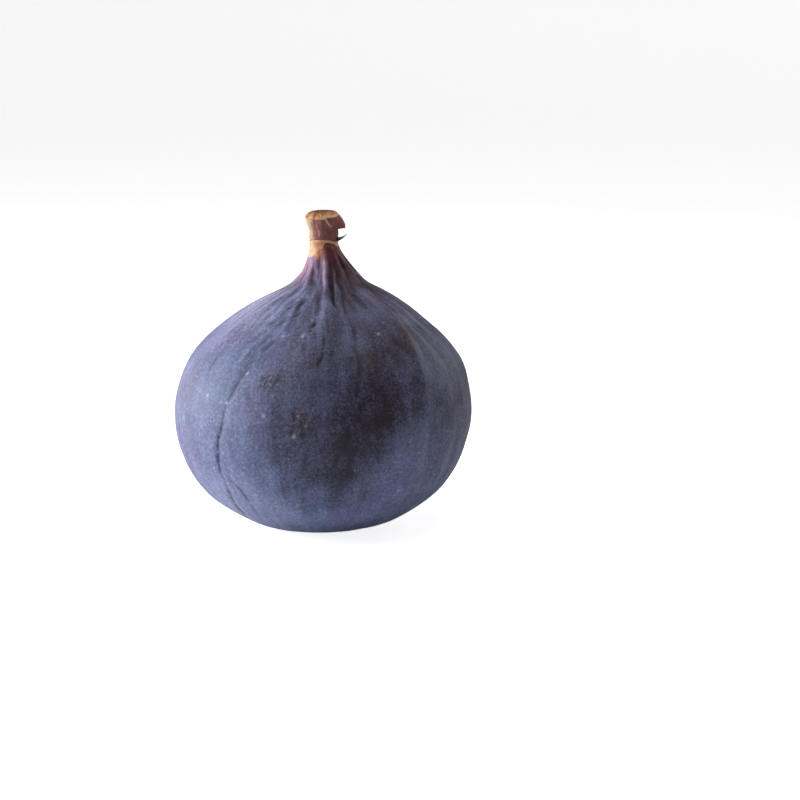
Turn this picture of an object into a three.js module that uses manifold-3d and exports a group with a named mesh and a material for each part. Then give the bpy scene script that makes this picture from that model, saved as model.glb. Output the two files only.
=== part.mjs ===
// A ripe black fig, whole and as picked. It stands on its eye end, with the stub of its stalk on top.
// Units are millimetres, +Z is up and the origin is the middle of the flat spot that the fig stands on.
// Azimuths are in degrees: 0 faces -Y, which is the front, and 90 faces +X.

import * as THREE from "three";
import { mergeVertices } from "three/addons/utils/BufferGeometryUtils.js";
import Module from "manifold-3d";

const wasm = await Module();
wasm.setup();

// Driving sizes of the fruit
const FOOT_RADIUS = 8;
const BELLY_RADIUS = 28;
const BELLY_HEIGHT = 20.5;
const NECK_TOP = 53.95;
const NECK_RADIUS = 2.65;
const EYE_RADIUS = 5;
const EYE_DEPTH = 1.2;

// Driving sizes of the stalk's stub
const SEAM_GAP = 0.3;
const STUB_TOP = 59.75;
const STUB_WAIST = 2.72;
const STUB_RIM = 3.15;
const HOOK_REACH = 4.25;
const HOOK_HEIGHT = 56.75;

// How finely the two surfaces are faceted
const FRUIT_COLUMNS = 108;
const FLANK_ROWS = 33;
const STUB_COLUMNS = 40;
const EYE_RINGS = [0.7, 1.3, 1.9, 2.6, 3.3, 4, EYE_RADIUS];

// The fruit's outline from the foot to the neck: radius, height, and how far the section's centre stands
// to +X
const OUTLINE = [
  [FOOT_RADIUS, 0, 0],
  [10.5, 0.45, 0],
  [14.4, 1.7, 0],
  [18.9, 4.4, 0.1],
  [23.3, 8.5, 0.1],
  [26.5, 14, 0.05],
  [BELLY_RADIUS, BELLY_HEIGHT, 0.2],
  [27.55, 26.5, 0.4],
  [25.55, 32, 0.8],
  [21.85, 36.5, 1.1],
  [17.7, 40, 1.35],
  [14, 42.6, 1.75],
  [10.15, 44.6, 1.95],
  [6.65, 46.6, 1.75],
  [4.65, 49, 1.5],
  [3.4, 51.4, 1],
  [2.9, 52.7, 0.75],
  [NECK_RADIUS, NECK_TOP, 0.6],
];

// The scar's lip on top of the neck: how far each ring stands out from the neck, and how far above the seam
const LIP = [
  [0.1, 0.3],
  [-0.35, 0.5],
  [-0.85, 0.2],
];
const CUP_FLOOR = 0.1;

// The seam between neck and stalk rises and falls in waves: how many go round, their height and their phase.
// The power says how fast the waves die out down the neck.
const SEAM_REACH = 12;
const SEAM_WAVES = [
  { count: 1, height: 0.32, phase: 0.32 },
  { count: 3, height: 0.1, phase: 0 },
];

// The stub's outline from its foot in the cup to the cut face: radius, height, how far the section's centre
// stands to +X, and how much it has there of the seam's waves, the furrows, the hook and the ragged edge
const STUB_OUTLINE = [
  [NECK_RADIUS - 1.15, NECK_TOP + 0.2 + SEAM_GAP, 0.6, 1, 0, 0, 0],
  [NECK_RADIUS - 0.45, NECK_TOP + 0.5 + SEAM_GAP, 0.6, 1, 0, 0, 0],
  [STUB_WAIST - 0.05, NECK_TOP + 0.35 + SEAM_GAP, 0.6, 1, 0, 0, 0],
  [STUB_WAIST, NECK_TOP + 0.6 + SEAM_GAP, 0.62, 1, 0, 0, 0],
  [STUB_WAIST, 55.7, 0.68, 0, 1, 0, 0],
  [STUB_WAIST, HOOK_HEIGHT - 0.3, 0.65, 0, 1, 0, 0],
  [STUB_WAIST + 0.05, HOOK_HEIGHT, 0.55, 0, 1, 1, 0],
  [STUB_WAIST + 0.2, HOOK_HEIGHT + 0.85, 0.45, 0, 1, 1, 0],
  [STUB_RIM - 0.05, STUB_TOP - 1.35, 0.4, 0, 0.5, 0.62, 0.5],
  [STUB_RIM, STUB_TOP - 0.75, 0.35, 0, 0, 0.25, 1],
  [STUB_RIM - 0.3, STUB_TOP - 0.15, 0.35, 0, 0, 0, 1],
  [STUB_RIM - 0.75, STUB_TOP, 0.35, 0, 0, 0, 0.5],
  [STUB_RIM - 1.5, STUB_TOP - 0.4, 0.35, 0, 0, 0, 0],
];
const CUT_DEPTH = 0.5;

// The hook of torn bark on the right: its middle azimuth and how far it spreads
const HOOK_AZIMUTH = 82;
const HOOK_SPREAD = 38;

// A sliver of bark on the right of the stub, from its root inside the bark to its tip
const SLIVER_ROOT = new THREE.Vector3(2.3, -0.9, 54.85);
const SLIVER_TIP = new THREE.Vector3(5.05, -1.3, 56);
const SLIVER_RADIUS = 0.5;
const SLIVER_SIDES = 7;

// Ribs and creases of the skin. Each runs from the foot to the neck along three azimuths, given at these
// heights.
const RIB_HEIGHTS = [5, 22, 42];
const RIBS = [
  { azimuths: [-9, -6.5, 1], rise: 0.7, width: 3.4, from: 2, to: 46 },
  { azimuths: [-44, -44, -44], rise: 0.45, width: 2.2, from: 1, to: 11 },
  { azimuths: [-66, -68, -57], rise: 0.45, width: 2.6, from: 2, to: 49 },
  { azimuths: [38, 42, 47], rise: 0.5, width: 2.4, from: 2, to: 49 },
  { azimuths: [84, 86, 80], rise: 0.45, width: 2.6, from: 2, to: 49 },
  { azimuths: [118, 124, 121], rise: 0.45, width: 2.8, from: 2, to: 48 },
  { azimuths: [161, 156, 163], rise: 0.5, width: 2.6, from: 2, to: 49 },
  { azimuths: [203, 198, 196], rise: 0.4, width: 3, from: 2, to: 47 },
  { azimuths: [236, 240, 233], rise: 0.5, width: 2.4, from: 2, to: 49 },
  { azimuths: [-92, -97, -90], rise: 0.4, width: 2.8, from: 2, to: 48 },
];
const CREASES = [
  { azimuths: [-43.5, -39.5, -30], rise: -0.4, width: 1.2, from: 9, to: 41 },
  { azimuths: [10, 11.5, 17], rise: -0.5, width: 2.4, from: 8, to: 47 },
  { azimuths: [63, 66, 60], rise: -0.35, width: 2, from: 6, to: 46 },
  { azimuths: [101, 104, 100], rise: -0.35, width: 1.6, from: 8, to: 45 },
  { azimuths: [141, 139, 143], rise: -0.45, width: 1.4, from: 7, to: 44 },
  { azimuths: [181, 178, 180], rise: -0.4, width: 2.2, from: 10, to: 46 },
  { azimuths: [218, 221, 215], rise: -0.4, width: 1.4, from: 6, to: 42 },
  { azimuths: [-108, -113, -106], rise: -0.4, width: 1.8, from: 8, to: 46 },
];

// Each end of a rib fades out over a length: more at the bottom than at the top
const RIB_FADE_IN = 6;
const RIB_FADE_OUT = 4;

// Ribs grow stronger and narrower from the belly up to this height
const SHOULDER_TOP = 40;

// Flutes of the neck: how many go round, how deep each set is, and where it starts
const FLUTES = [
  { count: 11, depth: 0.16, phase: 0.4 },
  { count: 18, depth: 0.13, phase: 2.1 },
];

// The flutes come in over the first two of these heights, and are weaker from the third one up
const FLUTES_FROM = 38;
const FLUTES_FULL = 47;
const FLUTES_WEAKEN = 50;

// Whorls of small scales that close the eye: radius, width, number of scales, rise and turn
const SCALE_WHORLS = [
  { radius: 3.3, width: 0.8, scales: 6, rise: 0.45, turn: 0 },
  { radius: 1.8, width: 0.7, scales: 6, rise: 0.5, turn: 30 },
];

const radians = THREE.MathUtils.degToRad;
const smoothstep = THREE.MathUtils.smoothstep;
const bell = (distance, width) => Math.exp(-((distance / width) ** 2));

// Difference of two azimuths, from -180 to 180 degrees
function turnBetween(a, b) {
  return THREE.MathUtils.euclideanModulo(a - b + 180, 360) - 180;
}

// Azimuth of a rib at a height: the parabola through its three azimuths
function ribAzimuth(rib, height) {
  const [low, middle, high] = RIB_HEIGHTS;
  const [a, b, c] = rib.azimuths;
  const first = (b - a) / (middle - low);
  const second = ((c - b) / (high - middle) - first) / (high - low);
  return a + (height - low) * (first + (height - middle) * second);
}

// How far the skin stands out of its smooth outline at a place. Ribs are strongest on the shoulder, and they
// draw together on the way to the neck.
function relief(azimuth, radius, height) {
  const onShoulder = smoothstep(height, BELLY_HEIGHT, SHOULDER_TOP);
  const strength = THREE.MathUtils.lerp(0.65, 1, onShoulder);
  const narrowing = Math.max(THREE.MathUtils.lerp(0.85, 0.3, onShoulder), radius / BELLY_RADIUS);
  let rise = 0;
  for (const rib of [...RIBS, ...CREASES]) {
    const ends =
      smoothstep(height, rib.from, rib.from + RIB_FADE_IN) *
      (1 - smoothstep(height, rib.to - RIB_FADE_OUT, rib.to));
    const across = radians(turnBetween(azimuth, ribAzimuth(rib, height))) * radius;
    rise += rib.rise * strength * ends * bell(across, rib.width * narrowing);
  }
  const neck =
    smoothstep(height, FLUTES_FROM, FLUTES_FULL) *
    (1 - 0.6 * smoothstep(height, FLUTES_WEAKEN, NECK_TOP));
  for (const flute of FLUTES) {
    rise += neck * flute.depth * Math.cos(flute.count * radians(azimuth) + flute.phase);
  }
  return rise;
}

// How far the seam between neck and stalk stands above the neck's top at an azimuth
function seamRise(azimuth) {
  return SEAM_WAVES.reduce(
    (rise, wave) => rise + wave.height * Math.cos(wave.count * radians(azimuth) + wave.phase),
    0,
  );
}

// A point at an azimuth and radius round a centre that stands at some X
function place(azimuth, radius, height, centreX) {
  return new THREE.Vector3(
    centreX + radius * Math.sin(radians(azimuth)),
    -radius * Math.cos(radians(azimuth)),
    height,
  );
}

// Closed geometry from a first pole, rings of points from the bottom up, and a last pole
function closedSkin(firstPole, rings, lastPole) {
  const columns = rings[0].length;
  const points = [firstPole, ...rings.flat(), lastPole];
  const last = points.length - 1;
  const at = (ring, column) => 1 + ring * columns + (column % columns);
  const faces = [];
  for (let column = 0; column < columns; column++) {
    faces.push(0, at(0, column + 1), at(0, column));
    for (let ring = 0; ring < rings.length - 1; ring++) {
      const a = at(ring, column);
      const b = at(ring, column + 1);
      const c = at(ring + 1, column + 1);
      const d = at(ring + 1, column);
      faces.push(a, b, c, a, c, d);
    }
    faces.push(last, at(rings.length - 1, column), at(rings.length - 1, column + 1));
  }
  return new THREE.BufferGeometry().setFromPoints(points).setIndex(faces);
}

// One ring of points, made by a function of the azimuth
function ring(columns, pointAt) {
  return Array.from({ length: columns }, (_, column) => pointAt((360 * column) / columns));
}

// The eye's floor: a shallow dent with whorls of overlapping scales, seen from below
function eyeFloor(azimuth, radius) {
  let height = EYE_DEPTH * (1 - smoothstep(radius, 0.55 * EYE_RADIUS, EYE_RADIUS));
  for (const whorl of SCALE_WHORLS) {
    const leaf = Math.abs(Math.cos(radians(((azimuth + whorl.turn) * whorl.scales) / 2)));
    height -= whorl.rise * leaf * bell(radius - whorl.radius, whorl.width);
  }
  return Math.max(height, 0);
}

function makeFruit() {
  const rings = [];
  for (const radius of EYE_RINGS) {
    rings.push(ring(FRUIT_COLUMNS, (az) => place(az, radius, eyeFloor(az, radius), 0)));
  }

  const outline = new THREE.CatmullRomCurve3(
    OUTLINE.map((row) => new THREE.Vector3(...row)),
    false,
    "centripetal",
  );
  for (let row = 0; row <= FLANK_ROWS; row++) {
    const share = row / FLANK_ROWS;
    const { x: radius, y: height, z: centreX } = outline.getPointAt(share);
    const run = outline.getTangentAt(share);
    rings.push(
      ring(FRUIT_COLUMNS, (az) => {
        const rise = row === 0 ? 0 : relief(az, radius, height);
        const tilt = (height / NECK_TOP) ** SEAM_REACH * seamRise(az);
        return place(az, radius + rise * run.y, height - rise * run.x + tilt, centreX);
      }),
    );
  }

  // The scar's lip turns in over the top of the neck and ends in a shallow cup under the stalk
  const topX = OUTLINE.at(-1)[2];
  for (const [out, above] of LIP) {
    rings.push(
      ring(FRUIT_COLUMNS, (az) =>
        place(az, NECK_RADIUS + out, NECK_TOP + seamRise(az) + above, topX),
      ),
    );
  }
  return closedSkin(
    new THREE.Vector3(0, 0, EYE_DEPTH),
    rings,
    new THREE.Vector3(topX, 0, NECK_TOP + CUP_FLOOR),
  );
}

function makeStub() {
  const furrowsAt = (az) => 0.06 * Math.cos(radians(7 * az)) + 0.05 * Math.cos(radians(12 * az) + 2);
  const raggedAt = (az) => 0.06 * Math.cos(radians(5 * az) + 1) + 0.05 * Math.cos(radians(9 * az));
  const hookAt = (az) => bell(turnBetween(az, HOOK_AZIMUTH), HOOK_SPREAD);
  const rings = STUB_OUTLINE.map(([radius, height, centreX, waves, furrows, hook, ragged]) =>
    ring(STUB_COLUMNS, (az) => {
      const bark = radius + furrows * furrowsAt(az) + ragged * raggedAt(az);
      const reach = THREE.MathUtils.lerp(bark, HOOK_REACH, hook * hookAt(az));
      return place(az, reach, height + waves * seamRise(az), centreX);
    }),
  );
  return closedSkin(
    new THREE.Vector3(STUB_OUTLINE[0][2], 0, NECK_TOP + CUP_FLOOR + SEAM_GAP),
    rings,
    new THREE.Vector3(STUB_OUTLINE.at(-1)[2], 0, STUB_TOP - CUT_DEPTH),
  );
}

function makeSliver() {
  const along = SLIVER_TIP.clone().sub(SLIVER_ROOT);
  const sliver = new THREE.ConeGeometry(SLIVER_RADIUS, along.length(), SLIVER_SIDES);
  const upright = new THREE.Vector3(0, 1, 0);
  sliver.applyQuaternion(
    new THREE.Quaternion().setFromUnitVectors(upright, along.clone().normalize()),
  );
  const middle = SLIVER_ROOT.clone().add(SLIVER_TIP).multiplyScalar(0.5);
  return sliver.translate(middle.x, middle.y, middle.z);
}

// A manifold-3d solid from a closed three.js geometry, and the way back
function toSolid(geometry) {
  const bare = geometry.clone();
  bare.deleteAttribute("normal");
  bare.deleteAttribute("uv");
  const merged = mergeVertices(bare, 1e-4);
  return new wasm.Manifold(
    new wasm.Mesh({
      numProp: 3,
      vertProperties: merged.getAttribute("position").array,
      triVerts: new Uint32Array(merged.index.array),
    }),
  );
}

function toGeometry(solid) {
  const mesh = solid.getMesh();
  return new THREE.BufferGeometry()
    .setAttribute("position", new THREE.BufferAttribute(mesh.vertProperties, 3))
    .setIndex(new THREE.BufferAttribute(mesh.triVerts, 1));
}

function namedMesh(name, geometry, material) {
  geometry.computeVertexNormals();
  const mesh = new THREE.Mesh(geometry, material);
  mesh.name = name;
  return mesh;
}

const bloomySkin = new THREE.MeshStandardMaterial({
  color: "#5a5d7d",
  roughness: 0.72,
  metalness: 0,
});
const driedBark = new THREE.MeshStandardMaterial({
  color: "#8c6650",
  roughness: 0.85,
  metalness: 0,
});

const fig = new THREE.Group();
fig.add(namedMesh("fruit", makeFruit(), bloomySkin));
fig.add(
  namedMesh("stalk_stub", toGeometry(toSolid(makeStub()).add(toSolid(makeSliver()))), driedBark),
);

export default fig;
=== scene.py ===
# A ripe black fig, whole and as picked, standing on its eye end, with the stub of its stalk on top.
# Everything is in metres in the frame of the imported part. Sizes given in millimetres end in _MM or stand
# in tables that say so. Azimuths are in degrees: 0 faces -Y, which is the front, and 90 faces +X.
import math
import random

import bmesh
import bpy
import numpy as np
from bpy.props import FloatProperty, FloatVectorProperty, IntProperty, PointerProperty
from mathutils import Matrix, Vector, noise


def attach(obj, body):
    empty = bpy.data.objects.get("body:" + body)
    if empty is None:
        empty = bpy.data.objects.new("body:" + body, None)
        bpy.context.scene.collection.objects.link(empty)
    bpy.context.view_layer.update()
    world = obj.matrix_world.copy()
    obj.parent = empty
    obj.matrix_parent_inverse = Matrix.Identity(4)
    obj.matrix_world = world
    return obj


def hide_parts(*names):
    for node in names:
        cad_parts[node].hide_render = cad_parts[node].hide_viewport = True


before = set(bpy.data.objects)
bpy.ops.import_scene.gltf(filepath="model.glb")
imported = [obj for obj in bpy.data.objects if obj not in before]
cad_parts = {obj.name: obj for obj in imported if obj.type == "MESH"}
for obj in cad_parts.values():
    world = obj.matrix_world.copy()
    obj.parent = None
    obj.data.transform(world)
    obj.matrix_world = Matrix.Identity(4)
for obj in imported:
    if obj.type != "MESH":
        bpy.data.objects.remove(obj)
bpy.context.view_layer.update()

bl_info = {
    "name": "Fresh fig",
    "version": (1, 0, 0),
    "blender": (4, 5, 0),
    "location": "3D View > Sidebar > Fig",
    "description": "Dresses the fig's solids with a bloomy skin and a dried stalk, and sets a small studio",
    "category": "Object",
}

MM = 0.001
BODY = "root"

# The fruit's driving sizes, in millimetres
NECK_TOP_MM = 53.95
NECK_RADIUS_MM = 2.65
BELLY_RADIUS_MM = 28.0
BELLY_HEIGHT_MM = 20.5
EYE_RADIUS_MM = 5.0
EYE_DEPTH_MM = 1.2

# The stub's driving sizes, in millimetres
HOOK_REACH_MM = 4.25
HOOK_AZIMUTH = 82
SLIVER_ROOT_MM = (2.5, -0.9, 54.68)
SLIVER_TIP_MM = (5.2, -1.3, 55.85)
SLIVER_RADIUS_MM = 0.5
SLIVER_SAG_MM = 0.36

# The fruit's outline from the foot to the neck: radius, height, and how far the section's centre stands to +X
OUTLINE_MM = (
    (8.0, 0.0, 0.0),
    (10.5, 0.45, 0.0),
    (14.4, 1.7, 0.0),
    (18.9, 4.4, 0.1),
    (23.3, 8.5, 0.1),
    (26.5, 14.0, 0.05),
    (28.0, 20.5, 0.2),
    (27.55, 26.5, 0.4),
    (25.55, 32.0, 0.8),
    (21.85, 36.5, 1.1),
    (17.7, 40.0, 1.35),
    (14.0, 42.6, 1.75),
    (10.15, 44.6, 1.95),
    (6.65, 46.6, 1.75),
    (4.65, 49.0, 1.5),
    (3.4, 51.4, 1.0),
    (2.9, 52.7, 0.75),
    (2.65, 53.95, 0.6),
)

# The stub's outline from its foot in the cup to the cut face: radius, height, and how far its centre
# stands to +X
STUB_OUTLINE_MM = (
    (0.0, 54.35, 0.6),
    (1.5, 54.45, 0.6),
    (2.2, 54.6, 0.6),
    (2.6, 54.4, 0.6),
    (2.74, 54.48, 0.6),
    (2.72, 55.0, 0.62),
    (2.72, 55.7, 0.68),
    (2.72, 56.45, 0.65),
    (2.77, 56.75, 0.55),
    (2.92, 57.6, 0.45),
    (3.1, 58.4, 0.4),
    (3.15, 58.85, 0.35),
    (3.0, 59.25, 0.4),
    (2.7, 59.6, 0.5),
    (2.4, 59.8, 0.55),
    (1.9, 59.85, 0.6),
    (1.2, 59.65, 0.6),
    (0.0, 59.6, 0.6),
)

# How far the torn bark hooks out at heights in mm, from 0 to 1
HOOK_SHARES = ((56.6, 0.0), (56.75, 0.9), (56.9, 1.0), (57.6, 0.98), (58.4, 0.66), (59.0, 0.3), (59.6, 0.0))

# Broad ribs and hollows of the skin: three azimuths at these heights, rise and width in mm, and the heights
# at which each starts and ends
RIB_HEIGHTS_MM = (5.0, 22.0, 42.0)
RIBS = (
    ((-9, -6.5, 1), 0.7, 3.4, 2, 46),
    ((-66, -68, -57), 0.45, 2.6, 2, 49),
    ((38, 42, 47), 0.5, 2.4, 2, 49),
    ((84, 86, 80), 0.45, 2.6, 2, 49),
    ((118, 124, 121), 0.45, 2.8, 2, 48),
    ((161, 156, 163), 0.5, 2.6, 2, 49),
    ((203, 198, 196), 0.4, 3.0, 2, 47),
    ((236, 240, 233), 0.5, 2.4, 2, 49),
    ((-92, -97, -90), 0.4, 2.8, 2, 48),
    ((10, 11.5, 17), -0.5, 2.4, 8, 47),
    ((63, 66, 60), -0.35, 2.0, 6, 46),
    ((101, 104, 100), -0.35, 1.6, 8, 45),
    ((141, 139, 143), -0.45, 1.4, 7, 44),
    ((181, 178, 180), -0.4, 2.2, 10, 46),
    ((218, 221, 215), -0.4, 1.4, 6, 42),
    ((-108, -113, -106), -0.4, 1.8, 8, 46),
)

# Narrow creases. Each has points from the bottom up, as height in mm, azimuth and how strong it is there, and
# then its depth and half width in mm.
CREASES = (
    (
        ((10.4, -42.7, 0.4), (11.6, -42.7, 0.6), (14.8, -42.2, 0.9), (17.0, -42.0, 1.0),
         (20.0, -40.5, 1.0), (23.1, -39.0, 0.8), (26.3, -37.7, 0.55), (28.2, -36.8, 0.5),
         (31.1, -34.3, 0.6), (33.2, -32.0, 0.35), (36.4, -33.2, 0.3), (38.7, -34.8, 0.15)),
        0.17, 0.32,
    ),
    (
        ((2.7, -54.0, 0.2), (4.6, -48.2, 0.5), (7.7, -44.5, 0.6), (10.4, -42.7, 0.5)),
        0.25, 0.4,
    ),
    (
        ((4.6, -35.0, 0.3), (8.1, -33.0, 0.5), (11.4, -35.2, 0.5), (13.5, -40.0, 0.3)),
        0.13, 0.45,
    ),
    (
        ((33.6, -1.0, 0.6), (34.5, -0.7, 1.1), (35.4, -0.2, 1.2), (36.0, 0.1, 0.9), (36.5, -0.2, 0.4),
         (36.9, -0.2, 1.0), (38.0, 0.3, 1.1), (38.8, 0.4, 0.5)),
        0.26, 0.17,
    ),
    (
        ((28.0, 13.4, 0.3), (30.0, 14.8, 0.6), (32.8, 16.3, 0.9), (34.0, 16.9, 0.9), (36.1, 16.7, 0.6),
         (37.4, 16.2, 0.6), (39.9, 18.0, 0.8), (41.4, 16.8, 0.6)),
        0.2, 0.36,
    ),
    (
        ((6.3, -6.6, 0.2), (9.8, -5.6, 0.25), (13.9, -4.6, 0.3), (17.7, -4.4, 0.3), (21.5, -3.8, 0.15)),
        0.12, 0.4,
    ),
    (
        ((6, 101, 0.3), (14, 103, 0.8), (24, 104, 1.0), (33, 102, 0.6), (40, 100, 0.3)),
        0.25, 0.4,
    ),
    (
        ((8, 141, 0.5), (16, 139, 0.9), (25, 139, 0.8), (34, 141, 0.7), (42, 143, 0.3)),
        0.3, 0.42,
    ),
    (
        ((7, 216, 0.3), (15, 219, 0.7), (24, 221, 1.0), (32, 219, 0.6), (40, 216, 0.4)),
        0.28, 0.38,
    ),
    (
        ((18, -113, 0.3), (26, -112, 0.6), (34, -109, 0.5), (41, -107, 0.3)),
        0.2, 0.5,
    ),
    (
        ((20, 180, 0.3), (28, 178, 0.7), (36, 178, 0.6), (43, 180, 0.3)),
        0.2, 0.45,
    ),
)

# Pleats of the neck that the photograph shows. Each has points from the bottom up, as height in mm, azimuth
# and how strong it is there, and then its rise and half width in mm. Where the rise is negative it is a
# groove.
PLEATS = (
    (
        ((43.0, -2.5, 0.2), (44.4, -3.5, 0.5), (45.7, -5.5, 0.8), (46.9, -6.0, 1.0), (48.4, -6.5, 1.0),
         (50.2, -4.0, 1.0), (51.6, -0.5, 0.8), (52.3, 1.0, 0.2)),
        0.26, 0.42,
    ),
    (
        ((46.0, -20.0, 0.3), (47.0, -20.5, 0.7), (49.0, -21.2, 1.0), (50.5, -19.0, 0.9),
         (51.4, -15.0, 0.3)),
        -0.13, 0.35,
    ),
    (
        ((46.0, -22.0, 0.4), (46.7, -23.2, 1.0), (47.7, -26.8, 1.0), (49.0, -26.0, 0.5),
         (50.2, -24.0, 0.6)),
        -0.14, 0.25,
    ),
    (
        ((44.8, -22.0, 0.3), (46.1, -27.0, 0.8), (47.2, -31.0, 1.0), (48.4, -32.0, 0.9),
         (50.0, -32.0, 0.3)),
        -0.3, 0.6,
    ),
    (
        ((42.0, -7.0, 0.2), (43.0, -7.8, 0.7), (44.1, -9.8, 1.0), (45.1, -11.2, 0.8), (46.0, -12.0, 0.2)),
        -0.24, 0.6,
    ),
    (
        ((42.3, -24.5, 0.3), (43.1, -25.0, 0.8), (44.0, -26.5, 1.0), (44.7, -27.2, 0.7)),
        -0.28, 0.6,
    ),
    (
        ((44.0, -34.0, 0.3), (45.5, -36.2, 0.7), (46.9, -41.8, 1.0), (49.4, -43.5, 0.9),
         (50.8, -38.0, 0.3)),
        0.18, 0.5,
    ),
    (
        ((44.0, -52.0, 0.3), (46.0, -57.0, 0.8), (48.0, -62.0, 1.0), (50.5, -58.0, 0.7)),
        -0.22, 0.45,
    ),
    (
        ((42.8, 6.0, 0.4), (43.8, 4.8, 1.0), (45.5, 3.0, 1.1), (46.8, 4.0, 1.2), (48.2, 5.2, 0.8),
         (49.5, 9.8, 0.5), (50.5, 13.0, 0.3)),
        -0.4, 0.38,
    ),
    (
        ((42.0, -0.5, 0.3), (43.0, -1.5, 0.8), (44.4, -4.0, 0.8), (45.2, -4.6, 0.3)),
        0.15, 0.5,
    ),
    (
        ((42.2, 5.6, 0.3), (42.9, 6.2, 0.8), (44.4, 7.8, 1.0), (46.3, 9.8, 0.9), (48.2, 11.6, 0.6),
         (49.6, 16.0, 0.3)),
        0.26, 0.42,
    ),
    (
        ((42.0, 12.0, 0.3), (43.4, 13.0, 0.9), (46.2, 17.0, 0.9), (48.1, 19.8, 0.8), (50.5, 26.0, 0.6)),
        -0.26, 0.38,
    ),
    (
        ((41.2, 10.4, 0.4), (41.8, 10.2, 1.0), (42.8, 10.2, 1.0), (43.3, 10.0, 0.3)),
        0.2, 0.33,
    ),
    (
        ((44.5, 19.5, 0.3), (45.9, 22.5, 0.8), (47.8, 28.0, 1.0), (50.2, 31.0, 0.6)),
        0.2, 0.5,
    ),
    (
        ((44.8, 31.0, 0.3), (46.1, 35.2, 0.7), (47.4, 42.0, 0.9), (48.9, 45.8, 1.0), (50.4, 48.0, 1.2),
         (51.4, 46.0, 1.2)),
        -0.34, 0.5,
    ),
    (
        ((37.0, 47.0, 0.3), (39.9, 48.5, 0.7), (42.2, 47.2, 0.9), (44.3, 47.0, 1.0), (46.2, 54.0, 1.0),
         (47.9, 59.5, 1.0), (50.2, 72.0, 0.8)),
        0.34, 0.7,
    ),
    (
        ((40.0, 58.0, 0.3), (42.9, 57.5, 0.8), (44.9, 57.5, 1.0), (46.7, 65.5, 1.0), (48.9, 79.0, 0.9)),
        -0.34, 0.55,
    ),
    (
        ((41.0, 71.0, 0.3), (43.3, 72.0, 0.9), (45.1, 74.0, 1.0), (47.3, 86.0, 0.5), (49.2, 92.0, 0.3)),
        0.2, 0.8,
    ),
)

# Pits and short dark streaks: azimuth and height, half width and half length in mm, lean in mm per mm, how
# dark from 0 to 1, and depth in mm
PITS = (
    (-7.2, 40.6, 0.42, 0.7, 0.25, 1.1, 0.4),
    (-8.0, 39.7, 0.3, 0.35, 0.0, 0.8, 0.2),
    (-22.2, 42.1, 0.28, 0.9, 0.5, 0.8, 0.2),
    (-24.6, 44.0, 0.4, 1.3, 0.25, 0.7, 0.2),
    (-33.0, 43.0, 0.3, 0.5, 0.3, 0.7, 0.15),
    (-36.2, 40.6, 0.7, 0.8, 0.4, 0.5, 0.1),
    (-28.0, 37.1, 0.6, 1.2, 0.5, 0.4, 0.08),
    (-38.6, 38.2, 0.7, 1.6, 0.4, 0.4, 0.08),
    (-28.6, 40.8, 0.5, 1.4, 0.4, 0.4, 0.08),
    (-17.0, 31.9, 0.35, 0.4, 0.0, 0.6, 0.15),
    (-8.5, 25.6, 0.35, 0.5, 0.0, 0.8, 0.12),
    (-5.4, 24.9, 0.45, 0.8, 0.1, 0.9, 0.15),
    (-5.6, 23.6, 0.4, 0.7, -0.1, 0.8, 0.12),
    (-9.2, 23.0, 0.3, 0.6, 0.0, 0.7, 0.1),
    (-5.1, 22.5, 0.5, 0.4, 0.0, 0.9, 0.12),
    (-68.5, 20.2, 0.3, 0.9, 0.0, 0.6, 0.15),
    (94.0, 38.0, 0.4, 0.8, 0.2, 0.8, 0.25),
    (152.0, 33.0, 0.35, 0.5, 0.0, 0.7, 0.2),
    (205.0, 41.0, 0.4, 0.9, 0.3, 0.8, 0.25),
    (-125.0, 29.0, 0.3, 0.6, 0.0, 0.6, 0.15),
)

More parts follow.
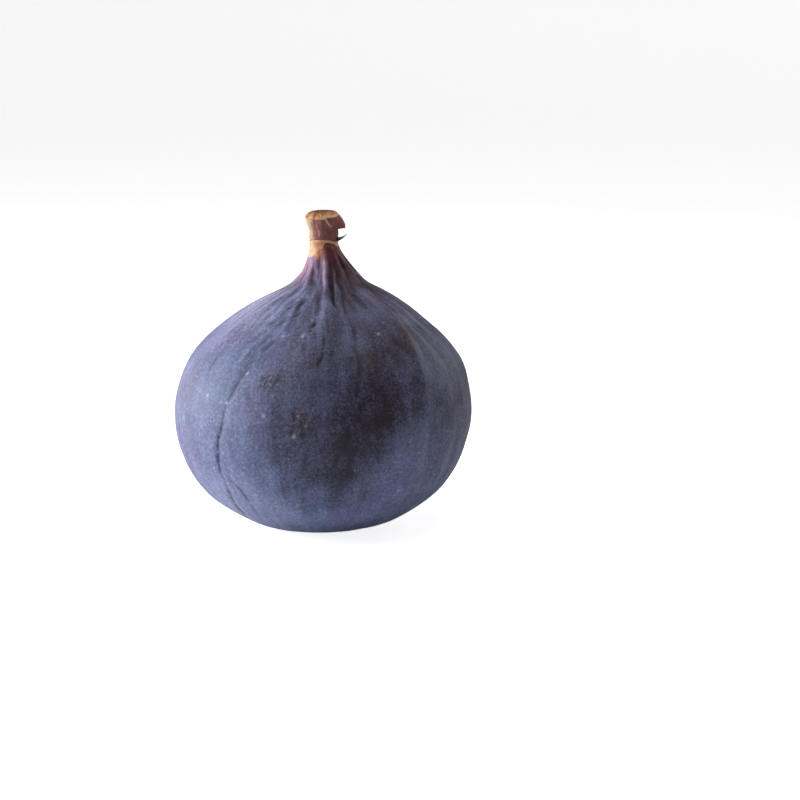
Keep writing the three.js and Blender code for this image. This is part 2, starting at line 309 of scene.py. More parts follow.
# Soft patches of the bloom: azimuth and height, half width and half length in mm, and how much thicker it is
# there. Besides real patches of bloom, they paint light and shade: the thinner ones at the lower front right
# are a painted shadow, as of a second fruit standing there, and many of the thicker ones, at the foot and on
# the shoulders, are painted light.
PATCHES = (
    (-50, 27, 4.5, 4.5, 0.06),
    (-33, 19, 5.0, 7.0, 0.1),
    (-62, 29, 4.0, 5.0, -0.1),
    (-25, 32, 3.5, 4.5, 0.12),
    (-34, 12, 6.0, 7.0, 0.18),
    (-8, 5.5, 17.0, 3.5, 0.36),
    (-6.5, 34, 2.2, 5.5, -0.28),
    (0, 37, 3.0, 4.5, -0.18),
    (-16, 34, 3.0, 3.5, 0.1),
    (-80, 42, 7.0, 4.5, 0.42),
    (-53, 42, 3.5, 3.0, 0.26),
    (-36, 39, 3.5, 4.0, 0.1),
    (18, 42.3, 5.0, 2.5, 0.14),
    (51, 44.6, 4.0, 3.0, 0.46),
    (14, 45, 3.5, 2.0, -0.3),
    (-5, 45.3, 2.5, 2.0, -0.14),
    (40, 42, 5.0, 3.0, 0.28),
    (70, 41.5, 6.0, 4.0, 0.3),
    (57, 34, 5.0, 6.0, 0.2),
    (14, 38, 3.5, 4.0, 0.26),
    (36, 32.5, 4.0, 3.0, 0.14),
    (9, 22, 4.5, 6.5, -0.2),
    (9, 14.5, 4.5, 5.0, -0.3),
    (-3, 14.5, 4.5, 3.5, -0.14),
    (-9, 23, 5.5, 4.5, -0.2),
    (-21, 19.5, 4.0, 5.0, -0.14),
    (-62, 38, 6.0, 4.0, 0.2),
    (-40, 9, 7.0, 3.5, 0.3),
    (-3, 10.5, 4.0, 2.0, 0.14),
    (9, 8, 4.0, 4.0, -0.2),
    (-56, 12.5, 3.5, 4.0, 0.14),
    (-27, 45, 4.0, 2.0, 0.3),
    (-71, 37.5, 5.0, 3.5, 0.2),
    (-8, 16, 5.0, 7.0, -0.14),
    (16, 21, 3.5, 6.5, -0.26),
    (25, 22, 4.0, 7.0, -0.1),
    (23, 33.5, 4.0, 4.5, -0.3),
    (28, 27, 3.5, 4.0, -0.1),
    (32, 27, 6.0, 5.0, -0.08),
    (40, 15, 8.0, 7.0, 0.26),
    (33, 19, 5.0, 5.0, 0.12),
    (37, 22, 4.5, 5.0, 0.14),
    (38, 38, 4.0, 3.0, -0.16),
    (28, 35.8, 5.0, 2.5, -0.16),
    (-35, 28, 3.0, 5.0, 0.14),
    (-36, 21, 3.0, 7.0, 0.08),
    (48, 26, 6.0, 8.0, 0.06),
    (4, 40, 4.0, 4.0, -0.08),
    (122, 20, 9.0, 8.0, 0.12),
    (165, 33, 8.0, 6.0, -0.12),
    (210, 15, 9.0, 9.0, 0.1),
    (-120, 30, 8.0, 7.0, -0.08),
)

# Patches in which the red of the skin comes through the bloom, in the same form
LILAC_PATCHES = (
    (-15, 35.5, 4.0, 4.5, 0.8),
    (-26, 27.0, 3.0, 3.5, 0.6),
    (-56, 38.0, 5.0, 4.0, 0.5),
    (-60, 16.0, 4.0, 6.0, 0.4),
    (-40, 30.0, 4.0, 5.0, -0.4),
    (-36, 18.0, 5.0, 8.0, -0.4),
)

# Pale dots of the skin: azimuth and height in mm
DOTS = (
    (-11.8, 38.9), (-22.8, 38.7), (-32.2, 32.5), (-49.5, 27.8), (-38.0, 27.2), (-20.8, 25.6), (-8.6, 22.2),
    (31.0, 39.0),
)

# Rough russet specks: azimuth and height, half width and half length in mm of the cluster
RUSSETS = (
    (-20.5, 31.4, 2.2, 2.0),
    (-6.0, 25.5, 1.6, 2.4),
    (131.0, 27.0, 2.4, 2.6),
    (-150.0, 36.0, 2.0, 1.8),
)

# The pale scratch on the stub's bark: azimuth, height in mm, half width in degrees, half height in mm, and
# how strong
TICK_SPOTS = (
    (15.5, 58.35, 3.0, 0.22, 1.0),
    (19.0, 58.0, 3.0, 0.22, 1.0),
    (24.0, 57.65, 3.5, 0.2, 0.9),
    (30.0, 57.3, 4.0, 0.18, 0.7),
)

# Where on the stub's outline the cut face begins, and how low the rim of dry wood round it reaches at these
# azimuths
STUB_FACE_SHARE = 0.79
RIM_FOOT_AZIMUTHS = (-120, -80, -30, 0, 12, 18, 45, 70, 90)
RIM_FOOT_MM = (58.8, 58.7, 58.6, 58.5, 58.5, 58.9, 58.95, 59.2, 59.35)

# Where a painted highlight brightens the rim on the left, and the rust-brown spots on the hooked bark, in the
# form of the scratch
RIM_HIGHLIGHT_SPOTS = ((-45, 59.0, 12, 0.5, 0.7),)
HOOK_RUST = ((74, 57.4, 10, 0.3, 0.8), (84, 57.0, 8, 0.25, 1.0), (60, 58.0, 9, 0.3, 0.4))

# Rust-brown places on the scar under the stalk: azimuth, height in mm, half width in degrees, half height in
# mm, and how strong
RUST_SPOTS = (
    (-31, 52.0, 8, 0.34, 1.0),
    (-26, 51.7, 7, 0.4, 1.0),
    (-20, 52.25, 9, 0.3, 1.0),
    (-12, 52.65, 9, 0.3, 1.0),
    (-4, 52.95, 7, 0.3, 0.8),
    (-38, 53.7, 9, 0.25, 0.6),
    (-20, 53.75, 13, 0.28, 0.75),
    (150, 53.2, 25, 0.5, 0.8),
)

# Brown places there, in the same form
UMBER_SPOTS = (
    (-33, 53.75, 13, 0.4, 1.0),
    (-12, 53.95, 13, 0.3, 1.0),
    (-16, 51.6, 6, 0.8, 0.5),
    (0, 52.6, 4, 0.7, 0.7),
    (16, 53.6, 12, 0.25, 0.55),
    (36, 53.35, 12, 0.3, 0.6),
)

# The photograph's view: the point the camera looks at and its distance in metres, and degrees above level
CAMERA_AIM = (0.014954, 0.0, 0.02389)
CAMERA_DISTANCE = 0.42333
CAMERA_ELEVATION = 10

# How many short streaks and faint ridges are strewn over the skin
STREAK_COUNT = 90
RIDGE_COUNT = 110

# How finely the surfaces are cut, and how much closer the fruit's columns stand at the front
FRUIT_SECTORS = 50
SECTOR_COLUMNS = 8
FRUIT_ROWS = 238
FRONT_CROWDING = 0.3
STUB_SECTORS = 28
STUB_ROWS = 160


def smooth(value, start, end):
    """0 below start, 1 above end, and an even ease in between."""
    t = np.clip((value - start) / (end - start), 0, 1)
    return t * t * (3 - 2 * t)


def bell(distance, width):
    """1 in the middle, falling softly, and 0.37 at a distance of width."""
    return np.exp(-((distance / width) ** 2))


def turn_between(a, b):
    """Difference of two azimuths, from -180 to 180 degrees."""
    return (a - b + 180) % 360 - 180


def linear(hex_colour):
    """sRGB hex to the linear RGBA that the shaders take."""
    parts = [int(hex_colour[i : i + 2], 16) / 255 for i in (1, 3, 5)]
    return tuple(c / 12.92 if c <= 0.04045 else ((c + 0.055) / 1.055) ** 2.4 for c in parts) + (1.0,)


def swatch(hex_colour, name, description):
    """A colour property with a hex default."""
    return FloatVectorProperty(
        name=name, description=description, subtype="COLOR", size=4, min=0, max=1, default=linear(hex_colour)
    )


class FigShape(bpy.types.PropertyGroup):
    rib_strength: FloatProperty(
        name="Ribs", description="How strongly the broad ribs stand out", default=1.0, min=0, max=2
    )
    crease_strength: FloatProperty(
        name="Creases", description="How deep the narrow creases are", default=1.0, min=0, max=2
    )
    wrinkle_depth: FloatProperty(
        name="Wrinkle depth", description="Depth of the fine wrinkles on the neck",
        default=0.16 * MM, min=0, max=MM, unit="LENGTH", precision=5,
    )
    wrinkle_count: IntProperty(
        name="Wrinkles", description="How many fine wrinkles run up the neck", default=30, min=0, max=80
    )


class FigColours(bpy.types.PropertyGroup):
    skin: swatch("#252238", "Skin", "The dark skin where the bloom is rubbed off")
    plum: swatch("#38242f", "Plum skin", "The redder skin on the shaded side")
    wine: swatch("#6a2c36", "Wine skin", "The red skin just under the stalk")
    bloom: swatch("#8291c0", "Bloom", "The pale wax on the skin, where it is thick")
    bloom_lilac: swatch("#8f8dbb", "Lilac bloom", "The pale wax where the red of the skin comes through")
    blush: swatch("#bd83a4", "Neck", "The pale side of the neck")
    scar: swatch("#e6cfa0", "Scar", "The dry ring where the stalk joins")
    bark: swatch("#a8706c", "Bark", "The stub's bark")
    bark_pale: swatch("#ccb586", "Pale bark", "The dry and pale strips of the bark")
    cut: swatch("#b9784a", "Cut face", "The dried face of the cut")


class FigStudio(bpy.types.PropertyGroup):
    floor: swatch("#f2f2f2", "Floor", "The pale floor and the sweep behind it")
    key_power: FloatProperty(
        name="Key light", description="Power of the soft light on the left", default=4.5, min=0, unit="POWER"
    )
    rim_power: FloatProperty(
        name="Rim light", description="Power of the weak light behind the fig on the right",
        default=0.5, min=0, unit="POWER",
    )
    top_power: FloatProperty(
        name="Top light", description="Power of the weak light overhead", default=1.4, min=0, unit="POWER"
    )
    ambient: FloatProperty(
        name="Room light", description="How bright the room is that the fig sees", default=0.015, min=0, max=2
    )
    bounce: FloatProperty(
        name="Bounce", description="How much light the floor throws back up", default=0.95, min=0, max=1
    )
    glow: FloatProperty(
        name="Floor glow", description="How bright the floor shines on the fig from below",
        default=0.04, min=0, max=1,
    )
    lens: FloatProperty(
        name="Lens", description="The camera's focal length", default=100.0, min=10, unit="CAMERA"
    )


# The fruit's shape

def catmull_rom(points, per_span=48):
    """A centripetal Catmull-Rom curve through the points, as the solid has it: the points along it."""
    points = np.array(points, float)
    padded = np.vstack([2 * points[0] - points[1], points, 2 * points[-1] - points[-2]])
    spans = []
    for p0, p1, p2, p3 in zip(padded, padded[1:], padded[2:], padded[3:]):
        d0, d1, d2 = (math.sqrt(np.linalg.norm(b - a)) for a, b in ((p0, p1), (p1, p2), (p2, p3)))
        start = ((p1 - p0) / d0 - (p2 - p0) / (d0 + d1) + (p2 - p1) / d1) * d1
        end = ((p2 - p1) / d1 - (p3 - p1) / (d1 + d2) + (p3 - p2) / d2) * d1
        t = np.linspace(0, 1, per_span, endpoint=False)[:, None]
        spans.append(
            p1 + start * t + (3 * (p2 - p1) - 2 * start - end) * t**2 + (2 * (p1 - p2) + start + end) * t**3
        )
    return np.vstack(spans + [points[-1:]])


def seam_rise(azimuth):
    """How far in mm the seam between neck and stalk stands above the neck's top."""
    turn = np.radians(azimuth)
    return 0.32 * np.cos(turn + 0.32) + 0.1 * np.cos(3 * turn)


def skin_profile():
    """Radius, height and centre X in mm, from the middle of the eye over the flank into the stalk's cup."""
    flank = catmull_rom(OUTLINE_MM)
    eye = np.array([(r, 0.0, 0.0) for r in np.linspace(0, OUTLINE_MM[0][0], 60, endpoint=False)])
    centre = OUTLINE_MM[-1][2]
    lip = catmull_rom(
        (
            (NECK_RADIUS_MM, NECK_TOP_MM, centre),
            (NECK_RADIUS_MM + 0.12, NECK_TOP_MM + 0.36, centre),
            (NECK_RADIUS_MM - 0.35, NECK_TOP_MM + 0.5, centre),
            (NECK_RADIUS_MM - 0.85, NECK_TOP_MM + 0.2, centre),
            (0.0, NECK_TOP_MM + 0.1, centre),
        ),
        24,
    )
    return np.vstack([eye, flank, lip[1:]])


def along(curve, shares):
    """Points at shares of the curve's length, and the sideways direction there in radius and height."""
    steps = np.linalg.norm(np.diff(curve, axis=0), axis=1)
    length = np.concatenate([[0], np.cumsum(steps)])
    at = np.asarray(shares) * length[-1]
    points = np.stack([np.interp(at, length, curve[:, i]) for i in range(3)], 1)
    near = 0.15  # half the run in mm that gives the direction
    ahead = np.stack([np.interp(at + near, length, curve[:, i]) for i in range(3)], 1)
    behind = np.stack([np.interp(at - near, length, curve[:, i]) for i in range(3)], 1)
    run = (ahead - behind)[:, :2]
    run /= np.maximum(np.linalg.norm(run, axis=1, keepdims=True), 1e-9)
    return points, np.stack([run[:, 1], -run[:, 0]], 1)


def rib_azimuth(azimuths, height):
    """Azimuth of a rib at a height: the parabola through its three azimuths."""
    low, middle, high = RIB_HEIGHTS_MM
    a, b, c = azimuths
    first = (b - a) / (middle - low)
    second = ((c - b) / (high - middle) - first) / (high - low)
    return a + (height - low) * (first + (height - middle) * second)


def in_front(azimuth):
    """1 on the side that the photograph shows, 0 behind it."""
    return 1 - smooth(np.abs(turn_between(azimuth, 0)), 78, 100)


def fade_ends(height, start, end, ease_in=6.0, ease_out=4.0):
    """1 between two heights, easing to 0 at either end."""
    return smooth(height, start, start + ease_in) * (1 - smooth(height, end - ease_out, end))


def broad_relief(azimuth, radius, height):
    """The ribs and hollows that the solid has too, in mm."""
    on_shoulder = smooth(height, BELLY_HEIGHT_MM, 40)
    strength = 0.65 + 0.35 * on_shoulder
    narrowing = np.maximum(0.85 - 0.55 * on_shoulder, radius / BELLY_RADIUS_MM)
    rise = np.zeros_like(radius)
    for azimuths, height_of, width, start, end in RIBS:
        across = np.radians(turn_between(azimuth, rib_azimuth(azimuths, height))) * radius
        rise += height_of * strength * fade_ends(height, start, end) * bell(across, width * narrowing)
    neck = smooth(height, 38, 47) * (1 - 0.6 * smooth(height, 50, NECK_TOP_MM))
    neck *= 1 - 0.85 * in_front(azimuth)
    for count, depth, phase in ((11, 0.16, 0.4), (18, 0.13, 2.1)):
        rise += neck * depth * np.cos(count * np.radians(azimuth) + phase)
    return rise


def pleat_relief(azimuth, radius, height):
    """The neck's pleats: rise in mm, how dark their grooves are, as painted shade, and how pale their crests
    are, as painted highlight, both from 0 to 1.
    """
    rise = np.zeros_like(radius)
    dark = np.zeros_like(radius)
    crest = np.zeros_like(radius)
    for points, high, width in PLEATS:
        heights, azimuths, strengths = zip(*points)
        path = np.interp(height, heights, azimuths) + 0.8 * np.sin(height * 2.1 + azimuths[0])
        across = np.radians(turn_between(azimuth, path)) * radius
        strength = np.interp(height, heights, strengths) * (1 + 0.2 * np.sin(height * 3.7 + azimuths[0]))
        strength = strength * fade_ends(height, heights[0] - 1.0, heights[-1] + 0.8, 2.0, 1.6)
        spread = strength * bell(across, width)
        rise += high * spread
        if high < 0:
            dark = np.maximum(dark, min(1.0, -2.8 * high) * spread)
        else:
            crest = np.maximum(crest, min(1.0, 3.2 * high) * spread)
    return rise, dark, crest


def crease_relief(azimuth, radius, height):
    """The narrow creases: how deep in mm, and how dark from 0 to 1, which is partly the crease's own dark
    line and partly painted shade.
    """
    depth = np.zeros_like(radius)
    dark = np.zeros_like(radius)
    for points, deep, width in CREASES:
        heights, azimuths, strengths = zip(*points)
        path = np.interp(height, heights, azimuths) + 0.3 * np.sin(height * 1.1 + azimuths[0])
        across = np.radians(turn_between(azimuth, path)) * radius
        strength = np.interp(height, heights, strengths)
        strength = strength * fade_ends(height, heights[0] - 1.5, heights[-1] + 1.5, 3.0, 3.0)
        depth += deep * strength * (bell(across, width) + 0.3 * bell(across, 2.8 * width))
        dark = np.maximum(dark, strength * bell(across, width))
    return depth, dark


def across_and_along(azimuth, radius, height, reach, at_azimuth, at_height):
    """Distances in mm over the skin from a place on it: round the fruit, and up it. Reach is the outline's
    length up to each point."""
    order = np.argsort(height)
    at_reach = np.interp(at_height, height[order], reach[order])
    return np.radians(turn_between(azimuth, at_azimuth)) * radius, reach - at_reach


def pit_relief(azimuth, radius, height, reach, pits):
    """Pits and short streaks: how deep in mm, and how dark from 0 to 1."""
    depth = np.zeros_like(radius)
    dark = np.zeros_like(radius)
    for at_azimuth, at_height, wide, long, lean, darkness, deep in pits:
        across, up = across_and_along(azimuth, radius, height, reach, at_azimuth, at_height)
        spot = bell(np.hypot((across - lean * up) / wide, up / long), 1.0)
        depth += deep * spot
        dark = np.maximum(dark, darkness * spot)
    return depth, dark


def random_streaks(count, rng):
    """Short streaks that are strewn over the shoulder, in the form of the table of pits."""
    return [
        (
            rng.uniform(0, 360), rng.uniform(33, 46), rng.uniform(0.18, 0.4), rng.uniform(0.6, 2.2),
            rng.uniform(-0.15, 0.3), rng.uniform(0.1, 0.45), rng.uniform(0.02, 0.1),
        )
        for _ in range(count)
    ]


def fine_ridges(azimuth, radius, height, count, rng):
    """Faint ridges that run up the whole skin, in mm."""
    rise = np.zeros_like(radius)
    for _ in range(count):
        middle = rng.uniform(0, 360)
        start = rng.uniform(2, 30)
        end = start + rng.uniform(12, 26)
        width = rng.uniform(0.5, 1.3)
        path = middle + rng.uniform(-4, 4) * (height - start) / 20 + 0.8 * np.sin(height * 0.35 + middle)
        across = np.radians(turn_between(azimuth, path)) * radius
        rise += rng.uniform(-0.09, 0.09) * fade_ends(height, start, end, 7.0, 7.0) * bell(across, width)
    return rise


def neck_wrinkles(azimuth, radius, height, count, rng):
    """Fine wrinkles that run up to the stalk, each with its own place, length and width, in mm of depth 1."""
    rise = np.zeros_like(radius)
    for index in range(count):
        middle = 360 * (index + rng.uniform(-0.3, 0.3)) / count
        start = rng.uniform(36, 46)
        end = rng.uniform(49.5, 54)
        width = rng.uniform(0.2, 0.4)
        bend = rng.uniform(-7, 7)
        strength = rng.uniform(0.4, 1.2) * rng.choice((-1, -1, 1))
        path = middle + bend * smooth(height, start, end) + 2.2 * np.sin(height * 0.8 + index)
        across = np.radians(turn_between(azimuth, path)) * radius
        wide = width * np.clip(radius / 6, 0.6, 2.2)
        broken = 0.55 + 0.45 * np.sin(height * rng.uniform(0.9, 2.2) + rng.uniform(0, 6))
        rise += strength * broken * fade_ends(height, start, end, 5.0, 3.0) * bell(across, wide)
    return rise


def uneven(points_mm, size_mm, seed, octaves=3):
    """Soft noise from about -1 to 1 at points in mm, with lumps of about size_mm."""
    offset = Vector((seed * 17.3, seed * 5.1, seed * 9.7))
    return np.array(
        [noise.fractal(Vector(p) / size_mm + offset, 1.0, 2.0, octaves) for p in points_mm.tolist()]
    )


def eye_floor(azimuth, radius):
    """Height in mm of the dent at the bottom, with its whorls of small scales."""
    height = EYE_DEPTH_MM * (1 - smooth(radius, 0.55 * EYE_RADIUS_MM, EYE_RADIUS_MM))
    for ring_radius, width, scales, rise, turn in ((3.3, 0.8, 6, 0.45, 0), (1.8, 0.7, 6, 0.5, 30)):
        leaf = np.abs(np.cos(np.radians((azimuth + turn) * scales / 2)))
        height = height - rise * leaf * bell(radius - ring_radius, width)
    return np.maximum(height, 0)


def spun(shares, points_mm, sectors):
    """A closed skin: a chain of edges is cut into steps, laid on the profile and spun round Z. Each sector is
    then cut into columns."""
    bm = bmesh.new()
    ends = [bm.verts.new((0, 0, z)) for z in (0, 1)]
    bm.edges.new(ends)
    bmesh.ops.subdivide_edges(bm, edges=bm.edges[:], cuts=len(shares) - 2)
    layer = bm.verts.layers.float.new("share")
    for vert, share, point in zip(sorted(bm.verts, key=lambda v: v.co.z), shares, points_mm):
        vert[layer] = share
        vert.co = (point[0] * MM, 0, point[1] * MM)
    bmesh.ops.spin(
        bm, geom=bm.verts[:] + bm.edges[:], cent=(0, 0, 0), axis=(0, 0, 1), angle=2 * math.pi,
        steps=sectors, use_merge=True,
    )
    level = [e for e in bm.edges if abs(e.verts[0][layer] - e.verts[1][layer]) < 1e-7]
    bmesh.ops.subdivide_edges(bm, edges=level, cuts=SECTOR_COLUMNS - 1, use_grid_fill=True)
    bmesh.ops.remove_doubles(bm, verts=bm.verts[:], dist=1e-7)
    bmesh.ops.recalc_face_normals(bm, faces=bm.faces[:])
    return bm


def new_piece(name, bm, material, replaces):
    """Makes the finished object of a piece, hangs it under the body's empty and hides the solid it replaces.
    """
    mesh = bpy.data.meshes.new(name)
    bm.to_mesh(mesh)
    bm.free()
    mesh.shade_smooth()
    mesh.materials.append(material)
    piece = bpy.data.objects.new(name, mesh)
    bpy.context.scene.collection.objects.link(piece)
    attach(piece, BODY)
    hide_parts(replaces)
    return piece


def read_points(mesh):
    """Vertex places, and the share of the profile that each came from."""
    places = np.zeros(len(mesh.vertices) * 3, np.float32)
    mesh.vertices.foreach_get("co", places)
    shares = np.zeros(len(mesh.vertices), np.float32)
    mesh.attributes["share"].data.foreach_get("value", shares)
    return places.reshape(-1, 3).astype(float), shares.astype(float)


def write_mask(mesh, name, values):
    """Keeps a value from 0 to 1 at each point of the mesh, for its material to read."""
    layer = mesh.attributes.new(name, "FLOAT", "POINT")
    layer.data.foreach_set("value", np.clip(values, 0, 1).astype(np.float32))


def placed(azimuth, radius, height, centre_x):
    """Points in metres at azimuths and radii in mm round centres that stand at some X."""
    turn = np.radians(azimuth)
    return np.stack([centre_x + radius * np.sin(turn), -radius * np.cos(turn), height], 1) * MM


def scar_edge(azimuth):
    """Height in mm of the lower edge of the dry ring on the neck, which is wide on the left."""
    stops = (-180, -150, -85, -60, -50, -40, -28, -14, -3, 3, 8, 27, 45, 59, 80, 120, 180)
    heights = (
        53.4, 52.6, 51.3, 51.4, 51.6, 51.85, 52.4, 52.95, 53.3, 53.9, 54.2, 54.15, 53.9, 53.5, 53.2, 53.7,
        53.4,
    )
    return np.interp(turn_between(azimuth, 0), stops, heights)


def spots(azimuth, height, table):
    """Soft spots on the neck and the stub, from 0 to 1. The table has azimuth, height in mm, half width in
    degrees, half height in mm, and how strong each is."""
    total = np.zeros_like(azimuth)
    for at_azimuth, at_height, wide, high, amount in table:
        away = np.hypot(turn_between(azimuth, at_azimuth) / wide, (height - at_height) / high)
        total = np.maximum(total, amount * bell(away, 1.0))
    return total


# Materials

def add(tree, kind, into=None, out=0, **settings):
    """Adds a shader node with its settings. Values of into go to its inputs, as links where they are sockets.
    Gives back the output that is asked for."""
    made = tree.nodes.new("ShaderNode" + kind)
    for name, value in settings.items():
        setattr(made, name, value)
    for socket, value in (into or {}).items():
        if isinstance(value, bpy.types.NodeSocket):
            tree.links.new(value, made.inputs[socket])
        else:
            made.inputs[socket].default_value = value
    return made.outputs[out] if made.outputs else None


def new_material(name):
    """A material with an empty node tree, and that tree."""
    material = bpy.data.materials.new(name)
    material.use_nodes = True
    material.node_tree.nodes.clear()
    return material, material.node_tree


def bloomy_skin(colours):
    """Fig skin: thin, dark plum and slightly waxy, under a powdery bloom that turns it blue-grey. The bloom
    makes it dull and gives a pale edge, and it is thin in creases and on the right. How thick it is, its pale
    frost and the crests' colours also carry painted light, and the grooves carry painted shade."""
    material, tree = new_material("fig_skin_with_bloom")
    masks = {
        name: add(tree, "Attribute", out="Fac", attribute_name=name)
        for name in (
            "bloom", "lilac", "frost_highlight", "shoulder", "groove", "plum", "wine", "blush", "ridge", "mauve",
            "russet", "dot", "scar", "scar_pink", "umber", "rust", "eye",
        )
    }
    coords = add(tree, "TexCoord", out="Object")
    mm = add(tree, "Mapping", {"Vector": coords, "Scale": (1000, 1000, 1000)})

    # Coordinates in which a pattern is drawn out into streaks that run up the skin, about 2.3 mm wide at the
    # belly and 8 mm long
    x, y, z = add(tree, "SeparateXYZ", {0: mm}).node.outputs
    flat = add(tree, "CombineXYZ", {0: x, 1: y})
    unit = add(tree, "VectorMath", {0: flat}, operation="NORMALIZE")
    around = add(tree, "VectorMath", {0: unit, "Scale": 12.0}, operation="SCALE")
    slow_rise = add(tree, "Math", {0: z, 1: 0.12}, operation="MULTIPLY")
    up = add(tree, "CombineXYZ", {2: slow_rise})
    streak_at = add(tree, "VectorMath", {0: around, 1: up}, operation="ADD")

    # Sizes in mm: clouds 14, patches 4.5, grain 0.4, powder 0.55 and cork 0.7. Real bloom is far finer than
    # the grain and the powder, which are as coarse as they need to be to show.
    clouds, patches, grain, streaks, powder, corks = (
        add(tree, "TexNoise", {"Vector": at, "Scale": per_mm, "Detail": detail, "Roughness": rough})
        for at, per_mm, detail, rough in (
            (mm, 1 / 14, 3.0, 0.5),
            (mm, 1 / 4.5, 4.0, 0.6),
            (mm, 1 / 0.4, 3.0, 0.7),
            (streak_at, 1.0, 4.0, 0.6),
            (mm, 1 / 0.55, 3.0, 0.7),
            (mm, 1 / 0.7, 2.0, 0.7),
        )
    )

    # Cells of 2.4 mm, of which a few have a pale dot in the middle, and pores 0.6 mm apart
    cells = add(tree, "TexVoronoi", {"Vector": mm, "Scale": 1 / 2.4, "Randomness": 1.0}).node.outputs
    cell_red = add(tree, "SeparateColor", {0: cells["Color"]})
    pores = add(tree, "TexVoronoi", {"Vector": mm, "Scale": 1 / 0.6}, "Distance", feature="F1")

    # How each pattern is used: the values between which it changes, and what it gives at each
    uses = {
        name: add(
            tree, "MapRange", {0: pattern, 1: low, 2: high, 3: at_low, 4: at_high},
            interpolation_type="SMOOTHSTEP",
        )
        for name, pattern, low, high, at_low, at_high in (
            ("frost_highlight", streaks, 0.35, 0.6, 0.25, 0.85),
            ("powder_dark", powder, 0.35, 0.62, 0.32, 0.0),
            ("powder_light", powder, 0.5, 0.74, 0.0, 0.46),
            ("groove", grain, 0.2, 0.55, 0.75, 1.0),
            ("blush", streaks, 0.3, 0.6, 0.45, 1.0),
            ("ridge", streaks, 0.3, 0.6, 0.7, 1.0),
            ("rare_cell", cell_red, 0.8, 0.82, 0.0, 1.0),
            ("cell_middle", cells["Distance"], 0.07, 0.12, 0.35, 0.0),
            ("cork", corks, 0.5, 0.6, 0.0, 1.0),
            ("fleck", corks, 0.41, 0.36, 0.0, 0.5),
            ("dry", corks, 0.35, 0.65, 0.0, 1.0),
            ("pink", corks, 0.4, 0.6, 0.0, 1.0),
            ("scar", masks["scar"], 0.02, 0.2, 0.0, 1.0),
            ("rust", corks, 0.3, 0.5, 0.5, 1.0),
            ("eye", grain, 0.35, 0.65, 0.0, 1.0),
        )
    }
    frost_highlight, ridge, mauve, dots, groove, russet, cork, fleck, umber, rust = (
        add(tree, "Math", {0: a, 1: b}, operation="MULTIPLY")
        for a, b in (
            (masks["frost_highlight"], uses["frost_highlight"]),
            (masks["ridge"], uses["ridge"]),
            (masks["mauve"], 0.8),
            (uses["rare_cell"], uses["cell_middle"]),
            (masks["groove"], uses["groove"]),
            (masks["russet"], 0.35),
            (masks["russet"], uses["cork"]),
            (masks["russet"], uses["fleck"]),
            (masks["umber"], 0.85),
            (masks["rust"], uses["rust"]),
        )
    )

    # The bloom's colour, with its pale frost: a painted highlight on the shoulders and painted light from
    # below at the lower left, drawn out in streaks
    cloudy = add(tree, "Math", {0: clouds, 1: 0.5}, operation="SUBTRACT")
    lilac = add(
        tree, "Math", {0: cloudy, 1: 1.6, 2: masks["lilac"]}, operation="MULTIPLY_ADD", use_clamp=True
    )
    bloom = tuple(colours.bloom)
    for share, over in (
        (lilac, tuple(colours.bloom_lilac)),
        (frost_highlight, linear("#c4c2e2")),
        (uses["powder_dark"], linear("#3f4364")),
        (uses["powder_light"], linear("#c3cae8")),
    ):
        bloom = add(tree, "Mix", {0: share, 6: bloom, 7: over}, 2, data_type="RGBA")

    # How thick the bloom is
    streaky = add(tree, "Math", {0: masks["shoulder"], 1: 0.7, 2: 0.7}, operation="MULTIPLY_ADD")
    cover = masks["bloom"]
    for pattern, amount in ((patches, 0.8), (streaks, streaky), (grain, 1.3)):
        uneven_by = add(tree, "Math", {0: pattern, 1: 0.5}, operation="SUBTRACT")
        cover = add(tree, "Math", {0: uneven_by, 1: amount, 2: cover}, operation="MULTIPLY_ADD")
    cover = add(
        tree, "Math", {0: masks["wine"], 1: -0.35, 2: cover}, operation="MULTIPLY_ADD", use_clamp=True
    )
    out_of_groove = add(tree, "Math", {0: 1.0, 1: groove}, operation="SUBTRACT", use_clamp=True)
    cover = add(tree, "Math", {0: cover, 1: out_of_groove}, operation="MULTIPLY")
    blush = add(tree, "Math", {0: masks["blush"], 1: uses["blush"]}, operation="MULTIPLY")
    blush = add(tree, "Math", {0: blush, 1: out_of_groove}, operation="MULTIPLY")
    # A near-black in the grooves: painted shade in the creases, pleats and wrinkles, dark marks in the pits
    groove_marks_and_shade = add(tree, "Math", {0: groove, 1: 0.6}, operation="MULTIPLY")
    cork_dark = add(tree, "Math", {0: cork, 1: 0.75}, operation="MULTIPLY")

    # The dry scar under the stalk, with a ragged edge, and the eye's small scales
    pink, dry, scales = (
        add(tree, "Mix", {0: share, 6: under, 7: over}, 2, data_type="RGBA")
        for share, under, over in (
            (uses["pink"], linear("#f6bf94"), linear("#e4a686")),
            (uses["dry"], tuple(colours.scar), linear("#dba886")),
            (uses["eye"], linear("#6a3b2c"), linear("#a87850")),
        )
    )
    dry = add(tree, "Mix", {0: masks["scar_pink"], 6: dry, 7: pink}, 2, data_type="RGBA")
    torn = add(tree, "Math", {0: corks, 1: 0.5}, operation="SUBTRACT")
    torn = add(tree, "Math", {0: torn, 1: 0.9, 2: masks["scar"]}, operation="MULTIPLY_ADD")
    torn = add(tree, "MapRange", {0: torn, 1: 0.35, 2: 0.65}, interpolation_type="SMOOTHSTEP")
    ragged = add(tree, "Math", {0: torn, 1: uses["scar"]}, operation="MULTIPLY")

